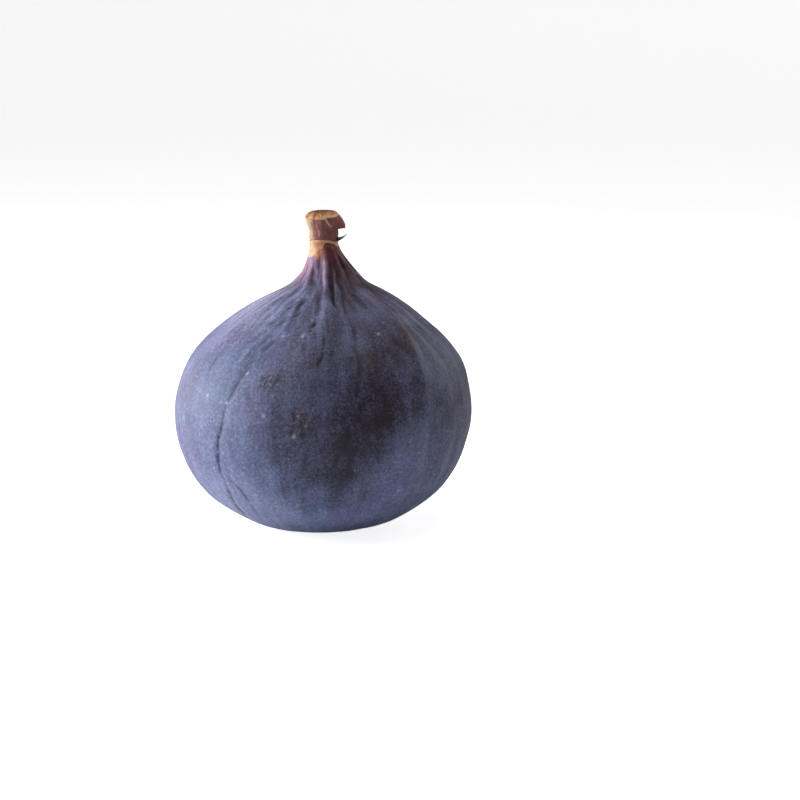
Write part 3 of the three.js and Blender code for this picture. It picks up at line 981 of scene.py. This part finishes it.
    # Colour layers over the skin. The ridge and mauve layers are a painted highlight on the neck's crests,
    # and the groove layer is partly painted shade
    colour = tuple(colours.skin)
    for share, over in (
        (masks["plum"], tuple(colours.plum)),
        (masks["wine"], tuple(colours.wine)),
        (cover, bloom),
        (blush, tuple(colours.blush)),
        (ridge, linear("#d8aecb")),
        (mauve, linear("#6c4c62")),
        (groove_marks_and_shade, linear("#1a1420")),
        (dots, linear("#b9b4d0")),
        (russet, linear("#6e5a5c")),
        (cork_dark, linear("#2d2528")),
        (fleck, linear("#bdb6c8")),
        (masks["dot"], linear("#ddd0e8")),
        (ragged, dry),
        (umber, linear("#c27448")),
        (rust, linear("#ff9e5e")),
        (masks["eye"], scales),
    ):
        colour = add(tree, "Mix", {0: share, 6: colour, 7: over}, 2, data_type="RGBA")

    height = add(tree, "Math", {0: grain, 1: 0.6}, operation="MULTIPLY")
    for pattern, amount in ((pores, 0.4), (streaks, 1.2), (cork, -0.8)):
        height = add(tree, "Math", {0: pattern, 1: amount, 2: height}, operation="MULTIPLY_ADD")
    bump = add(tree, "Bump", {"Strength": 0.45, "Distance": 0.12 * MM, "Height": height})
    sheen = add(tree, "Math", {0: cover, 1: 0.32}, operation="MULTIPLY")
    rough = add(tree, "MapRange", {0: cover, 3: 0.5, 4: 0.66}, interpolation_type="SMOOTHSTEP")
    shader = add(
        tree, "BsdfPrincipled",
        {
            "Base Color": colour, "Roughness": rough, "Normal": bump, "IOR": 1.44,
            "Sheen Weight": sheen, "Sheen Roughness": 0.5, "Sheen Tint": linear("#c3c6e6"),
        },
    )
    add(tree, "OutputMaterial", {0: shader})
    return material


def dried_bark(colours):
    """Dried fig stalk: smooth, leathery bark in mauve and brown, tan on the left and maroon on the right,
    which partly paint the light from the left and the shade on the right, with a rim of pale dry wood, which
    carries a painted highlight, round the rust-brown cut face. Dull all over."""
    material, tree = new_material("dried_stalk_bark")
    masks = {
        name: add(tree, "Attribute", out="Fac", attribute_name=name)
        for name in ("cut", "rim", "rim_highlight", "pale", "maroon", "tick", "rust", "sliver")
    }
    coords = add(tree, "TexCoord", out="Object")
    mm = add(tree, "Mapping", {"Vector": coords, "Scale": (1000, 1000, 1000)})

    # Fibres about 0.45 mm wide and three times as long, and blotches of 0.8 mm
    fibres_at = add(tree, "Mapping", {"Vector": mm, "Scale": (1.0, 1.0, 0.35)})
    fibres = add(tree, "TexNoise", {"Vector": fibres_at, "Scale": 2.2, "Detail": 4.0, "Roughness": 0.65})
    blotches = add(tree, "TexNoise", {"Vector": mm, "Scale": 1.3, "Detail": 3.0})

    # A mask with a frayed edge is broken up by the fibres
    fray = add(tree, "Math", {0: fibres, 1: 0.5}, operation="SUBTRACT")
    frayed = {}
    for name in ("pale", "rim"):
        broken = add(tree, "Math", {0: fray, 1: 0.7, 2: masks[name]}, operation="MULTIPLY_ADD")
        broken = add(tree, "MapRange", {0: broken, 1: 0.3, 2: 0.7}, interpolation_type="SMOOTHSTEP")
        inside = add(tree, "MapRange", {0: masks[name], 1: 0.02, 2: 0.25}, interpolation_type="SMOOTHSTEP")
        frayed[name] = add(tree, "Math", {0: broken, 1: inside}, operation="MULTIPLY")

    # Each tone is a pattern, the values between which it changes, and its colour at either end
    bark, maroon, tan, mottled, bright, face = (
        add(
            tree, "Mix",
            {
                0: add(tree, "MapRange", {0: pattern, 1: low, 2: high}, interpolation_type="SMOOTHSTEP"),
                6: first, 7: second,
            },
            2, data_type="RGBA",
        )
        for pattern, low, high, first, second in (
            (blotches, 0.4, 0.62, tuple(colours.bark), linear("#985f58")),
            (fibres, 0.35, 0.65, linear("#8c4c58"), linear("#a26c60")),
            (blotches, 0.42, 0.6, tuple(colours.bark_pale), linear("#c4a48e")),
            (blotches, 0.4, 0.56, linear("#e2ae7e"), linear("#b06c40")),
            (fibres, 0.4, 0.7, linear("#ffcc98"), linear("#ffb888")),
            (blotches, 0.42, 0.58, tuple(colours.cut), linear("#8a4a28")),
        )
    )
    # The rim's bright peach is a painted highlight where the dry wood catches the light
    wood = add(tree, "Mix", {0: masks["rim_highlight"], 6: mottled, 7: bright}, 2, data_type="RGBA")
    spike = add(
        tree, "Mix", {0: masks["pale"], 6: linear("#2c2638"), 7: linear("#d5d3de")}, 2, data_type="RGBA"
    )
    pale_fibres = add(tree, "MapRange", {0: fibres, 1: 0.5, 2: 0.7}, interpolation_type="SMOOTHSTEP")
    pale_fibres, rust, on_spike = (
        add(tree, "Math", {0: share, 1: amount}, operation="MULTIPLY")
        for share, amount in ((pale_fibres, 0.15), (masks["rust"], 0.8), (masks["sliver"], 0.75))
    )
    colour = bark
    for share, over in (
        (pale_fibres, tuple(colours.bark_pale)),
        (masks["maroon"], maroon),
        (frayed["pale"], tan),
        (frayed["rim"], wood),
        (masks["tick"], linear("#ffe6c6")),
        (rust, linear("#b8582c")),
        (on_spike, spike),
        (masks["cut"], face),
    ):
        colour = add(tree, "Mix", {0: share, 6: colour, 7: over}, 2, data_type="RGBA")
    height = add(tree, "Math", {0: blotches, 1: 0.5, 2: fibres}, operation="MULTIPLY_ADD")
    bump = add(tree, "Bump", {"Strength": 0.5, "Distance": 0.15 * MM, "Height": height})
    shader = add(
        tree, "BsdfPrincipled", {"Base Color": colour, "Roughness": 0.7, "Normal": bump, "IOR": 1.45}
    )
    add(tree, "OutputMaterial", {0: shader})
    return material


class FIG_OT_fruit(bpy.types.Operator):
    """Makes the fruit's skin, from the eye at the bottom to the scar under the stalk"""

    bl_idname = "fig.fruit"
    bl_label = "Fruit"

    def execute(self, context):
        scene = context.scene
        shape = scene.fig_shape
        curve = skin_profile()
        shares = np.linspace(0, 1, FRUIT_ROWS + 1)
        points, _ = along(curve, shares)
        points[0, 0] = points[-1, 0] = 0
        bm = spun(shares, points, FRUIT_SECTORS)
        piece = new_piece("fig_fruit", bm, bloomy_skin(scene.fig_colours), "fruit")
        mesh = piece.data

        # Where each point lies, with the columns drawn together at the front
        places, share = read_points(mesh)
        azimuth = np.degrees(np.arctan2(places[:, 0], -places[:, 1]))
        azimuth -= np.degrees(FRONT_CROWDING * np.sin(np.radians(azimuth)))
        at, out = along(curve, share)
        radius, height, centre_x = at.T
        radius[radius < 1e-6] = 0
        reach = share * np.linalg.norm(np.diff(curve, axis=0), axis=1).sum()

        # How far in mm the skin of the flank stands out from the profile
        flank = smooth(radius + height, 8.2, 12) * (1 - smooth(height, NECK_TOP_MM - 0.5, NECK_TOP_MM + 0.2))
        at_mm = placed(azimuth, radius, height, centre_x) / MM
        wobble = uneven(at_mm, size_mm=9.0, seed=1)
        rough = uneven(at_mm, size_mm=1.6, seed=2)
        creased, crease_dark = crease_relief(azimuth + 0.7 * rough, radius, height)
        crease_dark *= np.clip(0.7 + 1.1 * rough, 0.2, 1.0)
        pits = list(PITS) + random_streaks(STREAK_COUNT, random.Random(11))
        pitted, pit_dark = pit_relief(azimuth, radius, height, reach, pits)
        wrinkles = neck_wrinkles(azimuth, radius, height, shape.wrinkle_count, random.Random(7))
        wrinkles *= 1 - 0.35 * in_front(azimuth)
        pleats, pleat_dark, crest = pleat_relief(azimuth, radius, height)
        rise = shape.rib_strength * broad_relief(azimuth, radius, height)
        rise += shape.rib_strength * fine_ridges(azimuth, radius, height, RIDGE_COUNT, random.Random(5))
        rise -= shape.crease_strength * (creased + pitted)
        rise += 0.12 * wobble + 0.02 * rough + shape.wrinkle_depth / MM * wrinkles + pleats
        rise *= flank

        # The seam under the stalk is tilted, and less so down the neck, and the eye is sunk into the foot
        tilt = np.minimum(height / NECK_TOP_MM, 1) ** 12 * seam_rise(azimuth)
        lift = np.where((height < 1e-6) & (radius <= EYE_RADIUS_MM), eye_floor(azimuth, radius), 0)
        moved = placed(azimuth, radius + rise * out[:, 0], height + rise * out[:, 1] + tilt + lift, centre_x)
        mesh.vertices.foreach_set("co", moved.astype(np.float32).ravel())

        # How thick the bloom is: more on the left and at the foot, less on the right and towards the neck.
        # This is partly real, partly painted light on the lit left and at the foot, and painted shade on the
        # right.
        left = bell(turn_between(azimuth, -75), 75)
        right = bell(turn_between(azimuth, 50), 55)
        low = 1 - smooth(height, 4, 30)
        cover = 0.5 + 0.26 * left - 0.3 * right * smooth(height, 2, 26) + 0.08 * low
        cover -= 0.18 * smooth(height, 43, 50)
        for at_azimuth, at_height, wide, long, amount in PATCHES:
            across, up = across_and_along(azimuth, radius, height, reach, at_azimuth, at_height)
            cover += amount * bell(np.hypot(across / wide, up / long), 1.0)
        # Painted light and shade from the relief: thicker bloom on risen wrinkles and on the pleats' crests
        # on the left, thinner bloom in sunk wrinkles
        cover += 0.12 * np.clip(wrinkles, -1, 1) * smooth(height, 40, 46)
        cover += 0.25 * crest * (1 - smooth(azimuth, 8, 25))
        dot = np.zeros_like(radius)
        for at_azimuth, at_height in DOTS:
            across, up = across_and_along(azimuth, radius, height, reach, at_azimuth, at_height)
            dot = np.maximum(dot, 0.95 * bell(np.hypot(across, up), 0.26))
        write_mask(mesh, "dot", dot)

        # Small marks, and the grooves in which the bloom is thin. The grooves are also painted dark: painted
        # shade in the creases, pleats and wrinkles, and the skin's own dark marks in the pits and the crack
        russet = np.zeros_like(radius)
        for at_azimuth, at_height, wide, long in RUSSETS:
            across, up = across_and_along(azimuth, radius, height, reach, at_azimuth, at_height)
            russet = np.maximum(russet, bell(np.hypot(across / wide, up / long), 1.0))
        pleat_dark *= 0.8 - 0.35 * smooth(height, 46, 49) * (1 - smooth(azimuth, -10, 0))
        groove = np.maximum(np.maximum(crease_dark, pit_dark), pleat_dark)
        groove = np.maximum(groove, np.clip(-0.55 * wrinkles, 0, 0.6) * smooth(height, 38, 44))
        write_mask(mesh, "bloom", cover)
        write_mask(mesh, "groove", groove * flank)
        write_mask(mesh, "russet", russet)

        # Where the bloom is lilac, where its pale frost paints a highlight on the shoulders and light from
        # below at the lower left, and where the red of the neck comes through
        lilac = 0.1 + 0.75 * bell(turn_between(azimuth, -95), 32) + 0.3 * smooth(height, 38, 46)
        lilac += 0.4 * bell(turn_between(azimuth, 8), 30) * smooth(height, 10, 24)
        for at_azimuth, at_height, wide, long, amount in LILAC_PATCHES:
            across, up = across_and_along(azimuth, radius, height, reach, at_azimuth, at_height)
            lilac += amount * bell(np.hypot(across / wide, up / long), 1.0)
        write_mask(mesh, "lilac", lilac)
        blush = smooth(height, 44.5, 49.5) * bell(turn_between(azimuth, -85), 55)
        # The pleats' crests are painted lighter as a painted highlight: pale pink on the ridge at the front,
        # mauve on the right
        ridge = crest * bell(turn_between(azimuth, -3), 10) * smooth(height, 44.5, 49)
        write_mask(mesh, "ridge", ridge)
        sides = bell(turn_between(azimuth, -85), 40) + 0.6 * bell(turn_between(azimuth, 66), 20)
        frost_highlight = sides * smooth(height, 36, 42) * (1 - smooth(height, 45.5, 49))
        frost_highlight += 0.5 * bell(turn_between(azimuth, -40), 26) * (1 - smooth(height, 7, 16))
        write_mask(mesh, "frost_highlight", frost_highlight)
        write_mask(mesh, "blush", blush)
        write_mask(mesh, "mauve", crest * smooth(azimuth, 8, 25))
        wine = 0.35 * smooth(height, 44, 50) + 0.65 * smooth(height, 49.5, 51.8)
        wine *= bell(turn_between(azimuth, 35), 75)
        write_mask(mesh, "wine", np.maximum(wine, pleat_dark * smooth(height, 48, 50.5)))
        write_mask(mesh, "shoulder", smooth(height, 34, 42))
        write_mask(mesh, "plum", smooth(height, 8, 30) * bell(turn_between(azimuth, 48), 52))

        # The dry scar under the stalk, and the eye
        above_scar = height + tilt - scar_edge(azimuth)
        write_mask(mesh, "scar", smooth(above_scar, -0.3, 0.3))
        write_mask(mesh, "umber", spots(azimuth, height + tilt, UMBER_SPOTS))
        write_mask(mesh, "scar_pink", smooth(azimuth, -48, -30) * (1 - 0.8 * smooth(azimuth, 5, 20)))
        write_mask(mesh, "rust", spots(azimuth, height + tilt, RUST_SPOTS))
        write_mask(mesh, "eye", 1 - smooth(reach, EYE_RADIUS_MM - 0.8, EYE_RADIUS_MM + 1.5))
        mesh.update()
        return {"FINISHED"}


class FIG_OT_stalk(bpy.types.Operator):
    """Makes the stub of the stalk, with its torn bark and its sliver"""

    bl_idname = "fig.stalk"
    bl_label = "Stalk"

    def execute(self, context):
        outline = catmull_rom(STUB_OUTLINE_MM, 24)
        shares = np.linspace(0, 1, STUB_ROWS + 1)
        points, _ = along(outline, shares)
        points[0, 0] = points[-1, 0] = 0
        bm = spun(shares, points, STUB_SECTORS)
        self.add_sliver(bm)
        piece = new_piece(
            "fig_stalk", bm, dried_bark(context.scene.fig_colours), "stalk_stub"
        )
        mesh = piece.data

        places, share = read_points(mesh)
        on_sliver = share < 0
        azimuth = np.degrees(np.arctan2(places[:, 0], -places[:, 1]))
        at, _ = along(outline, np.maximum(share, 0))
        radius, height, centre_x = at.T
        turn = np.radians(azimuth)

        # The cut face, and the bark with its fibres
        on_face = smooth(share, STUB_FACE_SHARE - 0.015, STUB_FACE_SHARE + 0.015) * ~on_sliver
        on_bark = smooth(height, 54.7, 55.6) * (1 - on_face)
        fibres = sum(
            depth * np.cos(count * turn + phase + 0.5 * np.sin(height * 1.7 + count))
            for count, depth, phase in ((5, 0.05, 1.0), (7, 0.05, 0.0), (12, 0.04, 2.0), (23, 0.02, 1.0))
        )

        # The top is ragged and flattened at the front, and the torn bark hooks out on the right
        near_top = smooth(height, 58.4, 59.0)
        off_middle = np.minimum(radius / 2, 1)
        ragged = 0.06 * np.cos(5 * turn + 1) + 0.05 * np.cos(9 * turn) * near_top
        ragged = ragged * near_top * off_middle
        facet = smooth(height, 58.5, 59.6) * bell(turn_between(azimuth, 12), 42) * off_middle
        hook_heights, hook_shares = zip(*HOOK_SHARES)
        hook = np.interp(height, hook_heights, hook_shares) * bell(turn_between(azimuth, HOOK_AZIMUTH), 38)
        hook *= 1 - on_face
        bark = radius + on_bark * fibres - 0.6 * facet + ragged
        reach = bark + np.where(radius > 2, (HOOK_REACH_MM - bark) * hook, 0)

        # The foot follows the seam, and the cut slants down to the front
        slant = -0.13 * np.cos(turn) * smooth(height, 58.6, 59.5) * radius / 2.5
        lift = np.where(height < 55.2, seam_rise(azimuth), slant)
        moved = placed(azimuth, reach, height + lift, centre_x)
        moved[on_sliver] = places[on_sliver]
        mesh.vertices.foreach_set("co", moved.astype(np.float32).ravel())

        # The rim of dry wood with its painted highlight, the tan left side and the maroon right side, which
        # partly paint the light from the left and the shade on the right, and the marks of the bark
        rim_foot = np.interp(azimuth, RIM_FOOT_AZIMUTHS, RIM_FOOT_MM)
        rim = smooth(height, rim_foot - 0.15, rim_foot + 0.15) * (1 - on_face)
        # A painted highlight on the rim, at the front and on the left, dimmer at the top edge
        rim_highlight = np.maximum(smooth(azimuth, -14, -2), spots(azimuth, height, RIM_HIGHLIGHT_SPOTS))
        rim_highlight *= 1 - 0.7 * smooth(height + 0.1 * np.cos(9 * turn), 59.4, 59.6)
        tip = smooth(moved[:, 0] / MM, 3.4, 4.8) * on_sliver
        pale_width = 42 + 16 * smooth(height, 57.6, 58.6)
        write_mask(mesh, "cut", on_face)
        write_mask(mesh, "rim", np.where(on_sliver, 0, rim))
        write_mask(mesh, "rim_highlight", rim_highlight)
        pale_left_side = bell(turn_between(azimuth, -85), pale_width)
        write_mask(mesh, "pale", np.where(on_sliver, tip, pale_left_side))
        write_mask(mesh, "maroon", np.where(on_sliver, 1, smooth(azimuth, -11, 13)))
        write_mask(mesh, "tick", np.where(on_sliver, 0, spots(azimuth, height, TICK_SPOTS)))
        write_mask(mesh, "rust", np.where(on_sliver, 0, spots(azimuth, height, HOOK_RUST)))
        write_mask(mesh, "sliver", on_sliver)
        mesh.update()
        return {"FINISHED"}

    def add_sliver(self, bm):
        """A curved spike of bark, sunk into the stub at its root. Its share is -1, so it isn't laid round."""
        root = Vector(SLIVER_ROOT_MM) * MM
        tip = Vector(SLIVER_TIP_MM) * MM
        run = tip - root
        frame_of = Matrix.Translation((root + tip) / 2) @ run.to_track_quat("Z", "Y").to_matrix().to_4x4()
        cone = bmesh.ops.create_cone(
            bm, cap_ends=True, segments=12, radius1=SLIVER_RADIUS_MM * MM, radius2=0.02 * MM,
            depth=run.length, matrix=frame_of,
        )
        layer = bm.verts.layers.float["share"]
        for vert in cone["verts"]:
            vert[layer] = -1
        on_cone = [edge for edge in bm.edges if edge.verts[0][layer] < 0]
        sides = [edge for edge in on_cone if edge.calc_length() > 0.6 * run.length]
        bmesh.ops.subdivide_edges(bm, edges=sides, cuts=7, use_grid_fill=True)
        for vert in bm.verts:
            if vert[layer] < 0:
                far = (vert.co - root).dot(run) / run.length_squared
                vert.co.z -= SLIVER_SAG_MM * MM * math.sin(math.pi * far)
        bmesh.ops.recalc_face_normals(bm, faces=bm.faces[:])


class FIG_OT_studio(bpy.types.Operator):
    """Makes the pale floor, the soft light and the camera"""

    bl_idname = "fig.studio"
    bl_label = "Studio"

    def execute(self, context):
        scene = context.scene
        studio = scene.fig_studio

        # A round floor that is level in the middle and curves up at the edge: radius and height in metres
        sweep = catmull_rom(
            ((0.0, 0.0, 0), (0.4, 0.0, 0), (1.0, 0.0, 0), (1.5, 0.08, 0), (1.8, 0.4, 0), (1.9, 1.0, 0)), 8
        )
        bm = bmesh.new()
        chain = [bm.verts.new((x, 0, z)) for x, z, _ in sweep]
        for a, b in zip(chain, chain[1:]):
            bm.edges.new((a, b))
        bmesh.ops.spin(
            bm, geom=bm.verts[:] + bm.edges[:], cent=(0, 0, 0), axis=(0, 0, 1), angle=2 * math.pi,
            steps=64, use_merge=True,
        )
        bmesh.ops.remove_doubles(bm, verts=bm.verts[:], dist=1e-6)
        bmesh.ops.recalc_face_normals(bm, faces=bm.faces[:])
        mesh = bpy.data.meshes.new("studio_floor")
        bm.to_mesh(mesh)
        bm.free()
        mesh.shade_smooth()

        # Matt paper, which glows white for the camera and otherwise throws back the lamps' light
        material, tree = new_material("pale_studio_paper")
        lit = add(
            tree, "BsdfPrincipled",
            {
                "Base Color": tuple(studio.floor), "Roughness": 0.9,
                "Emission Color": (1, 1, 1, 1), "Emission Strength": 0.85,
            },
        )
        bounced = add(
            tree, "BsdfPrincipled",
            {
                "Base Color": (studio.bounce, studio.bounce, studio.bounce, 1), "Roughness": 1.0,
                "Specular IOR Level": 0.0, "Emission Color": (1, 1, 1, 1), "Emission Strength": studio.glow,
            },
        )
        seen = add(tree, "LightPath", out="Is Camera Ray")
        shader = add(tree, "MixShader", {0: seen, 1: bounced, 2: lit})
        add(tree, "OutputMaterial", {0: shader})
        mesh.materials.append(material)
        floor = bpy.data.objects.new("studio_floor", mesh)
        scene.collection.objects.link(floor)

        # The room, which is white for the camera and dim for the fig
        world = bpy.data.worlds.new("soft_white_room")
        world.use_nodes = True
        nodes = world.node_tree
        nodes.nodes.clear()
        seen = add(nodes, "LightPath", out="Is Camera Ray")
        level = add(nodes, "MapRange", {0: seen, 3: studio.ambient, 4: 1.0})
        back = add(nodes, "Background", {"Color": (1, 1, 1, 1), "Strength": level})
        add(nodes, "OutputWorld", {0: back})
        scene.world = world

        def softbox(name, place, aim, size, power):
            """Hangs a soft lamp and turns it to a point, all in metres and watts."""
            light = bpy.data.lights.new(name, "AREA")
            light.shape = "RECTANGLE"
            light.size, light.size_y = size
            light.energy = power
            lamp = bpy.data.objects.new(name, light)
            lamp.location = place
            lamp.rotation_euler = (Vector(aim) - Vector(place)).to_track_quat("-Z", "Y").to_euler()
            scene.collection.objects.link(lamp)

        softbox("key_softbox", (-0.55, 0.1, 0.12), (0, 0, 0.03), (0.5, 0.3), studio.key_power)
        softbox("top_softbox", (0.0, -0.05, 0.62), (0, 0, 0.03), (0.5, 0.5), studio.top_power)
        softbox("rim_softbox", (0.38, 0.3, 0.24), (0, 0, 0.04), (0.35, 0.35), studio.rim_power)

        # The camera, at the photograph's angle
        aim = Vector(CAMERA_AIM)
        elevation = math.radians(CAMERA_ELEVATION)
        back_from = Vector((0, -math.cos(elevation), math.sin(elevation)))
        camera = bpy.data.cameras.new("photo_camera")
        camera.lens = studio.lens
        camera.sensor_width = 36
        eye = bpy.data.objects.new("photo_camera", camera)
        eye.location = aim + back_from * CAMERA_DISTANCE
        eye.rotation_euler = (math.pi / 2 - elevation, 0, 0)
        scene.collection.objects.link(eye)
        scene.camera = eye
        scene.view_settings.view_transform = "Standard"
        return {"FINISHED"}


class FIG_PT_panel(bpy.types.Panel):
    """Lists the fig's settings and the steps that make it"""

    bl_idname = "FIG_PT_panel"
    bl_label = "Fig"
    bl_space_type = "VIEW_3D"
    bl_region_type = "UI"
    bl_category = "Fig"

    def draw(self, context):
        scene = context.scene
        for group in (scene.fig_shape, scene.fig_colours, scene.fig_studio):
            for name in group.bl_rna.properties.keys():
                if name not in ("rna_type", "name"):
                    self.layout.prop(group, name)
        for operator in ("fig.fruit", "fig.stalk", "fig.studio"):
            self.layout.operator(operator)


CLASSES = (FigShape, FigColours, FigStudio, FIG_OT_fruit, FIG_OT_stalk, FIG_OT_studio, FIG_PT_panel)


def register():
    for cls in CLASSES:
        bpy.utils.register_class(cls)
    bpy.types.Scene.fig_shape = PointerProperty(type=FigShape)
    bpy.types.Scene.fig_colours = PointerProperty(type=FigColours)
    bpy.types.Scene.fig_studio = PointerProperty(type=FigStudio)


def unregister():
    for name in ("fig_studio", "fig_colours", "fig_shape"):
        delattr(bpy.types.Scene, name)
    for cls in reversed(CLASSES):
        bpy.utils.unregister_class(cls)


def main():
    register()
    bpy.ops.fig.studio()
    bpy.ops.fig.fruit()
    bpy.ops.fig.stalk()


if __name__ == "__main__":
    main()
